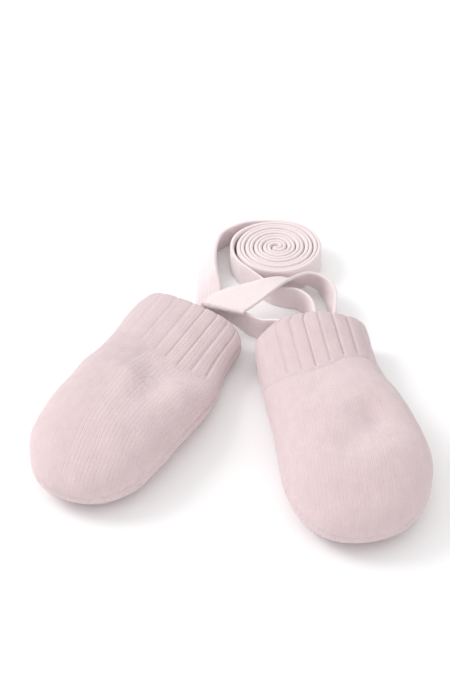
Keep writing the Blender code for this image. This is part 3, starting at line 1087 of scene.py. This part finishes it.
    def build(self, material: bpy.types.Material) -> bpy.types.Object:
        """Builds the cuff as a closed shell.

        Args:
            material: The cloth.

        Returns:
            The finished piece.
        """
        per_face = self.wales_each_face * self.gauge.columns_per_wale
        section = (per_face, self.section_half_width, self.section_rise)
        shares = (even_shares(*section, Face.UPPER)[:-1], even_shares(*section, Face.UNDER)[::-1][:-1])
        patch = Patch()
        outer, inner = self.knitted_side(patch, shares), self.lining_side(patch, shares)
        marks, inner_marks = (np.arange(side.shape[1]) / side.shape[1] for side in (outer, inner))
        patch.bridge((inner[0], inner_marks), (outer[-1], marks))
        patch.bridge((outer[0], marks), (inner[-1], inner_marks))
        return self.finish(patch, 2.0 * self.wales_each_face, material)


@dataclass(frozen=True)
class Mitten:
    """One mitten: two hand panels and a cuff."""

    side: str
    form: MittenForm
    join_depth: float
    seed: int

    def build(self, knit: bpy.types.Material, rib: bpy.types.Material) -> list[bpy.types.Object]:
        """Builds the mitten's pieces.

        Args:
            knit: The cloth of the hand.
            rib: The cloth of the cuff.

        Returns:
            The finished pieces.
        """
        prefix = f"mitten_{self.side}"
        shared = {"form": self.form, "join_depth": self.join_depth}
        panels = (
            ("upper_panel", "hand_top", Face.UPPER, (0.070, 0.100), 0.0062, 46, 14.0, self.seed),
            ("under_panel", "hand_palm", Face.UNDER, (0.067, 0.095), 0.0057, 44, 11.5, self.seed + 5),
        )
        pieces = [
            HandPanel(
                name=f"{prefix}_{name}",
                nodes=(f"{prefix}_{node}",),
                face=face,
                flat=flat,
                cut_area=area,
                wales=wales,
                section_rise=rise,
                seed=seed,
                **shared,
            ).build(knit)
            for name, node, face, flat, area, wales, rise, seed in panels
        ]
        nodes = (f"{prefix}_cuff_top", f"{prefix}_cuff_under")
        cuff = Cuff(name=f"{prefix}_rib_cuff", nodes=nodes, flat=(0.115, 0.035), seed=self.seed + 9, **shared)
        return [*pieces, cuff.build(rib)]


@dataclass(frozen=True)
class StrapRoll:
    """The strap doubled and wound round a fold, standing on its edge."""

    centre: tuple[float, float] = (22.3, 53.9)
    radius: float = 18.8
    pitch: float = 3.75
    pair_gap: float = 1.77
    turns: float = 4.62
    steps: int = 60
    loose_turn: float = 0.15
    back_exit: float = 90.0
    front_exit: float = 228.0
    front_exit_radius: float = 19.3
    swing_share: float = 0.6
    swing_steps: int = 30
    fold_steps: int = 7
    bottom: float = 0.2
    settle: float = 0.35
    low_settle: float = 0.3
    end_length: float = 20.0

    def path(self) -> Grid:
        """Middle line of the strap from the back exit, round the fold, to the front exit.

        Both strands wind inwards as a close pair: the radius falls with the turns,
        evenly after a short loose part. The inner strand's last part swings out to the
        exit radius on a smooth step.

        Returns:
            Points in plan.
        """
        turns = np.linspace(0.0, self.turns, int(self.turns * self.steps) + 1)
        radius = self.radius - self.pitch * np.maximum(turns - self.loose_turn, 0.0)
        back = math.radians(self.back_exit)
        angle = back - 2 * math.pi * turns
        way = np.stack([np.cos(angle), np.sin(angle)], axis=1)
        outer = radius[:, None] * way
        inner = (radius - self.pair_gap)[:, None] * way
        lead = math.radians(self.front_exit - self.back_exit)
        swing = np.linspace(0.0, lead, self.swing_steps)
        start = self.radius - self.pair_gap
        swung = start + (self.front_exit_radius - start) * smooth_step(swing / (lead * self.swing_share))
        leaving = swung[:, None] * np.stack([np.cos(back + swing), np.sin(back + swing)], axis=1)
        middle, arm = (outer[-1] + inner[-1]) / 2, (outer[-1] - inner[-1]) / 2
        bow = np.linspace(0.0, math.pi, self.fold_steps)[1:-1, None]
        fold = middle + arm * np.cos(bow) + np.array([arm[1], -arm[0]]) * np.sin(bow)
        return np.concatenate([outer, fold, inner[::-1], leaving[1:]]) + np.array(self.centre)

    def edges(self, width: float) -> Grid:
        """Edge points of the strap in the roll, which stands up and down by a soft wave.

        Args:
            width: The strap's width.

        Returns:
            Rows of both edges' points, the lower edge first.
        """
        path = self.path()
        far = lengths_along(path)
        wave = ROLL_SETTLING.at(far, np.zeros(len(far)))
        ends = smooth_step(far / self.end_length) * smooth_step((far[-1] - far) / self.end_length)
        rise = self.settle * (wave + 1.0) * ends * 0.5
        low = np.column_stack([path, self.bottom + rise * self.low_settle])
        high = np.column_stack([path, self.bottom + width + rise])
        return np.concatenate([low, high], axis=1)


@dataclass(frozen=True, kw_only=True)
class Strap(KnitPiece):
    """The flat knitted strap, from inside one cuff to inside the other.

    Rows of the tables are: x, y, z of one edge, then x, y, z of the other.
    """

    roll: StrapRoll
    to_left_cuff: Marks
    to_right_cuff: Marks
    crossing: Marks
    loop: Marks
    front_run: Marks
    slot: Slot = Slot.STRAP
    held: Held = Held.FOLDED
    width: float = 11.0
    thickness: float = 1.75
    square_edge: float = 0.35
    round_edge: float = 0.8
    edge_reach: float = 1.3
    spacing: float = 0.75
    wales: int = 7
    edge_steps: int = 5
    stretch_steps: int = 12
    fold_steps: int = 9
    soft_rounds: int = 3
    relief_share: float = 0.75

    def stretch(self, rows: Marks) -> Grid:
        """Stations along a free stretch, on a curve through its table's rows."""
        places = np.linspace(0.0, len(rows) - 1, self.stretch_steps * len(rows))
        return smooth_rows(np.array(rows), places)

    def stations(self) -> Grid:
        """Both edges of the strap at even steps, from the left cuff to the right one.

        A half circle turns the strap over where it is folded at the crossing.

        Returns:
            Rows of both edges' points.
        """
        parts = [
            self.stretch(self.to_left_cuff)[::-1],
            self.roll.edges(self.width)[1:],
            self.stretch(self.front_run)[1:],
            self.stretch(self.loop)[::-1][1:],
            self.stretch(self.crossing)[::-1][1:],
        ]
        before, after = self.even(np.concatenate(parts)), self.even(self.stretch(self.to_right_cuff)[::-1])
        middle, half = (before[-1] + after[0]) / 2, (before[-1] - after[0]) / 2
        line = before[-1, 3:] - before[-1, :3]
        out = np.array([line[1], -line[0], 0.0])
        out = out / np.linalg.norm(out) * np.linalg.norm(half[:3])
        turn = np.linspace(0.0, math.pi, self.fold_steps)[1:-1, None]
        fold = middle + half * np.cos(turn) + np.tile(out, 2) * np.sin(turn)
        return np.concatenate([before, fold, after])

    def even(self, rows: Grid) -> Grid:
        """Evens out a run of stations and softens the joints between its stretches.

        Args:
            rows: Stations of both edges.

        Returns:
            Stations at even steps.
        """
        length = lengths_along((rows[:, :3] + rows[:, 3:]) / 2)
        marks = np.linspace(0.0, length[-1], int(length[-1] / self.spacing) + 1)
        soft = np.stack([np.interp(marks, length, rows[:, k]) for k in range(6)], axis=1)
        for _ in range(self.soft_rounds):
            soft[1:-1] = (soft[:-2] + 2 * soft[1:-1] + soft[2:]) / 4
        return soft

    def section(self) -> tuple[Grid, Grid, Grid]:
        """The strap's section: two flat faces, with square edges on one and round ones on the other.

        Each edge is a superellipse. In the roll the square sides lie together.

        Returns:
            Shares of the half width and of the half thickness, and places round it in wales.
        """
        flat = 1.0 - self.edge_reach * 2 / self.width
        face = np.linspace(-flat, flat, self.wales * self.gauge.columns_per_wale + 1)
        turn = np.linspace(0.0, math.pi, 2 * self.edge_steps + 1)[1:-1]
        power = np.where(np.cos(turn) > 0, self.square_edge, self.round_edge)
        edge = flat + (1.0 - flat) * np.sin(turn) ** power
        side = np.sign(np.cos(turn)) * np.abs(np.cos(turn)) ** power
        across = np.concatenate([face, edge, face[::-1], -edge[::-1]])
        through = np.concatenate([np.ones(len(face)), side, -np.ones(len(face)), side[::-1]])
        return across, through, np.arange(len(across)) / self.gauge.columns_per_wale

    def build(self, material: bpy.types.Material) -> bpy.types.Object:
        """Builds the strap as a closed band along its stations.

        Each station's section is laid on the line between its two edges, and its
        thickness on the cross product of that line and the strap's run.

        Args:
            material: The cloth.

        Returns:
            The finished piece.
        """
        rows = self.stations()
        middle, line = (rows[:, :3] + rows[:, 3:]) / 2, rows[:, 3:] - rows[:, :3]
        far = lengths_along(middle)
        along = np.gradient(middle, far, axis=0)
        along /= np.linalg.norm(along, axis=1, keepdims=True)
        normal = np.cross(along, line)
        normal /= np.linalg.norm(normal, axis=1, keepdims=True)
        across, through, wales = self.section()
        skew = np.einsum("ij,ij->i", line, along) / 2
        courses = (far[:, None] + skew[:, None] * across) / self.gauge.course
        depth = self.gauge.depth(wales[None], courses) * self.relief_share
        half = self.thickness / 2 * through - through * depth
        points = middle[:, None] + line[:, None] / 2 * across[:, None] + normal[:, None] * half[..., None]
        points[..., 2] = np.maximum(points[..., 2], 0.0)
        patch = Patch()
        number = patch.add_rings(points, wales, courses)
        for row, way in ((0, 1), (-1, -1)):
            pole = patch.add_points(points[row].mean(axis=0)[None], np.zeros((1, 2)))
            ring = number[row]
            fan = np.stack([ring, np.roll(ring, -1), np.full_like(ring, pole)], axis=1)
            patch.triangles.append(fan[:, ::way])
        return self.finish(patch, wales[-1] + 1.0 / self.gauge.columns_per_wale, material)


@dataclass(frozen=True)
class Studio:
    """Pale floor, soft lights and the camera at the photograph's angle."""

    aim: Triple = (-0.0019, 0.0238, 0.0)
    elevation: float = 40.0
    distance: float = 0.83
    lens: float = 104.3
    floor_size: float = 8.0
    floor_grey: float = 0.97
    floor_roughness: float = 0.9
    floor_specular: float = 0.1
    world_strength: float = 0.83
    world_side: Triple = (-0.55, 0.3, 0.78)
    world_change: float = 0.2
    key_power: float = 6.0
    key_place: Triple = (-0.9, 0.25, 0.75)
    key_size: float = 0.6
    fill_power: float = 0.9
    fill_place: Triple = (0.5, -0.9, 0.9)
    fill_size: float = 1.2

    def stand(self, name: str, data: bpy.types.ID, place: Triple) -> bpy.types.Object:
        """Stands something at a place, turned towards the aim.

        Args:
            name: The object's name.
            data: Its light or camera.
            place: Where it stands.

        Returns:
            The new object.
        """
        made = bpy.data.objects.new(name, data)
        dx, dy, dz = (place[k] - self.aim[k] for k in range(3))
        made.location = place
        made.rotation_euler = (math.atan2(math.hypot(dx, dy), dz), 0.0, math.atan2(dx, -dy))
        bpy.context.scene.collection.objects.link(made)
        return made

    def light(self, name: str, place: Triple, size: float, power: float) -> None:
        """Adds a square soft light, turned towards the aim.

        Args:
            name: The light's name.
            place: Where it stands.
            size: Its side.
            power: Its power in watts.
        """
        data = bpy.data.lights.new(name, "AREA")
        data.size = size
        data.energy = power
        self.stand(name, data, place)

    def floor(self) -> None:
        """Lays the plain pale floor."""
        half = self.floor_size / 2
        corners = [(-half, -half, 0.0), (half, -half, 0.0), (half, half, 0.0), (-half, half, 0.0)]
        mesh = bpy.data.meshes.new("floor")
        mesh.from_pydata(corners, [], [(0, 1, 2, 3)])
        floor = bpy.data.objects.new("floor", mesh)
        bpy.context.scene.collection.objects.link(floor)
        paint = bpy.data.materials.new("floor_paint")
        paint.use_nodes = True
        shader = paint.node_tree.nodes["Principled BSDF"]
        shader.inputs["Base Color"].default_value = (*(self.floor_grey,) * 3, 1.0)
        shader.inputs["Roughness"].default_value = self.floor_roughness
        shader.inputs["Specular IOR Level"].default_value = self.floor_specular
        mesh.materials.append(paint)

    def air(self) -> None:
        """Fills the room with soft white light, a little stronger from one side.

        Its strength changes with the dot product of the direction and that side's.
        """
        world = bpy.data.worlds.new("studio_air")
        world.use_nodes = True
        sheet = NodeSheet(world.node_tree)
        way = sheet.node("ShaderNodeTexCoord", {}, {}, "Generated")
        facing = {0: way, 1: self.world_side}
        side = sheet.node("ShaderNodeVectorMath", {"operation": "DOT_PRODUCT"}, facing, "Value")
        strength = side * self.world_change + self.world_strength
        sheet.feed(world.node_tree.nodes["Background"], {"Color": (1.0,) * 4, "Strength": strength})
        bpy.context.scene.world = world

    def build(self) -> None:
        """Sets the floor, the world, the lights and the camera."""
        bpy.context.scene.view_settings.view_transform = "Standard"
        self.floor()
        self.air()
        self.light("key_light", self.key_place, self.key_size, self.key_power)
        self.light("fill_light", self.fill_place, self.fill_size, self.fill_power)
        rise = math.radians(self.elevation)
        back, up = self.distance * math.cos(rise), self.distance * math.sin(rise)
        data = bpy.data.cameras.new("camera")
        data.lens = self.lens
        place = (self.aim[0], self.aim[1] - back, self.aim[2] + up)
        bpy.context.scene.camera = self.stand("camera", data, place)


LEFT_FORM = MittenForm(
    place=(-12.9, 11.9),
    yaw=-27.3,
    bend=-6.4,
    cuff_height=17.4,
    hand_height=26.8,
    tip_power=2.16,
    rim_curve=-3.1,
    rim_skew=-2.1,
    widths=(
        (0, 21.1, 21.5), (8, 23, 27.3), (18, 23.2, 28), (28, 22.4, 29.2),
        (38, 21.6, 31.8), (48, 21.3, 33.6), (60, 21.6, 33.8), (74, 22.3, 32.2),
        (88, 23, 31), (100, 24.5, 31.2),
    ),
    dents=(
        (56, -10.5, 7, 5.5, 0.9), (64, -16, 7, 5.5, 1.2), (67, 5, 14, 6, 0.6),
    ),
    join=(7.5, 10, 11.2, 9.4, 6.3, 3.4, 1.6, 0.2, -1),
    valleys=(0, 0.12, 0.24, 0.385, 0.535, 0.63, 0.725, 0.815, 0.90, 1),
    strengths=(1, 0.25, 0.4, 0.45, 0.5, 0.5, 0.5, 0.55, 0.65, 1),
    upper_creases=(
        (48, -9, 66, -16, 7, 2.1), (64, -15, 75, -11, 7, 0.9),
        (53, -22, 64, -27, 5, -0.7), (96, 2, 104, -10, 5, 0.3),
    ),
    under_creases=(
        (42, -8, 62, -3, 3, 0.8), (78, 10, 96, 4, 3.5, 0.6),
        (50, 15, 66, 12, 2.5, 0.5),
    ),
)
RIGHT_FORM = MittenForm(
    place=(36.9, -2),
    yaw=8.5,
    bend=2.9,
    cuff_height=20.8,
    hand_height=27.3,
    tip_power=2.24,
    rim_curve=0.4,
    rim_skew=-3.7,
    widths=(
        (0, 17.8, 20.7), (8, 25.8, 20.8), (18, 27, 20.7), (28, 27.4, 20.9),
        (38, 27.5, 22.3), (48, 27.6, 24.7), (60, 27.4, 27.2), (74, 27.6, 29.3),
        (88, 28.1, 30.6), (100, 28.7, 30.4),
    ),
    dents=(
        (71, -11, 10, 6, 1.6), (82, -1, 9, 8, 0.9), (54, 12.5, 7, 13, 0.8),
    ),
    join=(-3.5, -3.3, -2.8, -1.4, 1.9, 4, 4.7, 4.4, 4.2),
    valleys=(0, 0.105, 0.209, 0.306, 0.4, 0.506, 0.638, 0.768, 0.885, 1),
    strengths=(1, 0.3, 0.9, 0.85, 0.8, 0.8, 0.8, 0.85, 0.3, 1),
    upper_creases=(
        (60, -2, 80, -14, 8.5, 1.9), (80, -1, 91, 5, 8, 1.6),
        (46, 14, 50, 2, 4.5, 0.6), (60, -20, 66, -27, 4, -0.4),
        (86, -18, 95, -6, 7, -0.4),
    ),
    under_creases=(
        (46, 6, 64, 10, 3, 0.7), (70, -12, 90, -7, 3.5, 0.6),
    ),
)
BABY_STRAP = Strap(
    name="strap_knit_band",
    nodes=(
        "strap_roll", "strap_run_to_left_cuff", "strap_run_to_right_cuff", "strap_crossing",
        "strap_loop", "strap_front_run",
    ),
    flat=(0.011, 0.90),
    gauge=KnitGauge(wale=1.35, course=1, groove=0.15, loop=0.06),
    roll=StrapRoll(),
    to_left_cuff=(
        (22, 72.7, 0.2, 22, 72.7, 11.2), (15, 73, 0.2, 15.1, 72.7, 11.2),
        (8.6, 72.6, 0.2, 8.6, 71.6, 11.2), (2.6, 70.4, 0.2, 2.2, 68, 11),
        (-2.7, 66.2, 0.2, -1.7, 63.6, 10.9), (-6.8, 61, 0.2, -3.4, 58, 10.3),
        (-9.6, 55, 0.2, -4, 53.2, 9.6), (-11.2, 48.8, 0.2, -4, 48.2, 8.5),
        (-12, 41.8, 0.3, -3.2, 42.6, 6.6), (-12.2, 35.2, 0.6, -1.9, 37.2, 4),
        (-12.4, 28.8, 1.2, -1.7, 30.2, 2.2), (-12.6, 21.6, 2.4, -1.8, 23.6, 2.4),
        (-14.4, 12.5, 3.9, -4, 16, 3.9), (-17.6, 2.6, 3.7, -7.5, 7, 3.7),
    ),
    to_right_cuff=(
        (32.5, -11, 2.9, 32.8, -11.2, 13.7), (28.5, -5, 3.1, 29, -5.2, 13.9),
        (23, 0.8, 3.2, 23.4, 0.4, 13.9), (14.2, 5.4, 0.4, 15.6, 4, 11.4),
        (8.6, 8.8, 0.6, 12.2, 6.1, 11.2), (2.5, 11.6, 4, 9.8, 7.5, 11.1),
        (-5, 13.6, 8.2, 8.8, 8.3, 11.1), (-9.7, 14.4, 10.2, 8.4, 8.3, 11.1),
    ),
    crossing=(
        (-9.4, 14.4, 12.2, 8.4, 7.4, 12.8), (-5.2, 18.2, 12.8, 9.8, 8.2, 13),
        (0.2, 21.6, 13, 11.5, 10, 13), (5, 23.6, 13, 13.6, 12.2, 13.1),
        (11, 26, 13, 16.8, 15.6, 13.6), (17.5, 28.8, 12.9, 20.4, 18.9, 14.6),
        (24, 33.2, 9.9, 25, 24.3, 14.6), (29.5, 35.7, 5.6, 30, 29.2, 14.3),
    ),
    loop=(
        (29.9, 35.9, 5.3, 30.4, 29.5, 14.2), (34.6, 38, 2.8, 35, 33.4, 12.8),
        (38.6, 37.4, 1, 40.5, 33.6, 11.3), (41.6, 33.5, 0.3, 44.6, 29.6, 10.8),
        (43.2, 26, 0.2, 46.3, 23.6, 10.9), (44.3, 18, 0.2, 46.1, 17, 11.1),
        (44.6, 10, 0.2, 45.3, 10, 11.2), (43, 5.2, 0.2, 43.2, 5, 11.2),
        (40.8, 4, 0.2, 40.8, 4, 11.2), (38.4, 5.2, 0.2, 38.4, 5.2, 11.2),
        (37.2, 9.2, 0.2, 37.2, 9.2, 11.2),
    ),
    front_run=(
        (9.6, 39.3, 0.2, 9.6, 39.3, 11.2), (14.6, 33.9, 0.2, 14.5, 33.6, 11),
        (19.4, 28.8, 0.2, 19.3, 28.2, 11), (24.8, 26.3, 0.2, 24.7, 25.6, 11.1),
        (30.3, 25, 0.2, 30.3, 24.4, 11.2), (34.3, 21.2, 0.2, 34.3, 20.8, 11.2),
        (36.5, 16, 0.2, 36.5, 15.6, 11.2), (37.2, 9.5, 0.2, 37.2, 9.5, 11.2),
    ),
)


def main() -> None:
    """Builds the studio, both mittens and the strap, and reports each piece."""
    logging.basicConfig(level=logging.INFO)
    Studio().build()
    knit = WoolFinish("hand_knit_wool", light=(0.79, 0.64, 0.656), deep=(0.68, 0.54, 0.556)).material()
    rib = WoolFinish("cuff_rib_wool", light=(0.76, 0.615, 0.63), deep=(0.65, 0.52, 0.535)).material()
    # The strap's wool is paler than the hands': partly its own tone, partly painted light that lifts its
    # shaded standing faces.
    strap = WoolFinish("strap_wool", light=(0.93, 0.81, 0.824), deep=(0.85, 0.73, 0.745)).material()
    pieces = Mitten("left", LEFT_FORM, join_depth=0.03, seed=3).build(knit, rib)
    pieces += Mitten("right", RIGHT_FORM, join_depth=0.25, seed=31).build(knit, rib)
    pieces.append(BABY_STRAP.build(strap))
    for piece in pieces:
        piece.data.calc_loop_triangles()
        LOG.info("%s: %d triangles", piece.name, len(piece.data.loop_triangles))


if __name__ == "__main__":
    main()
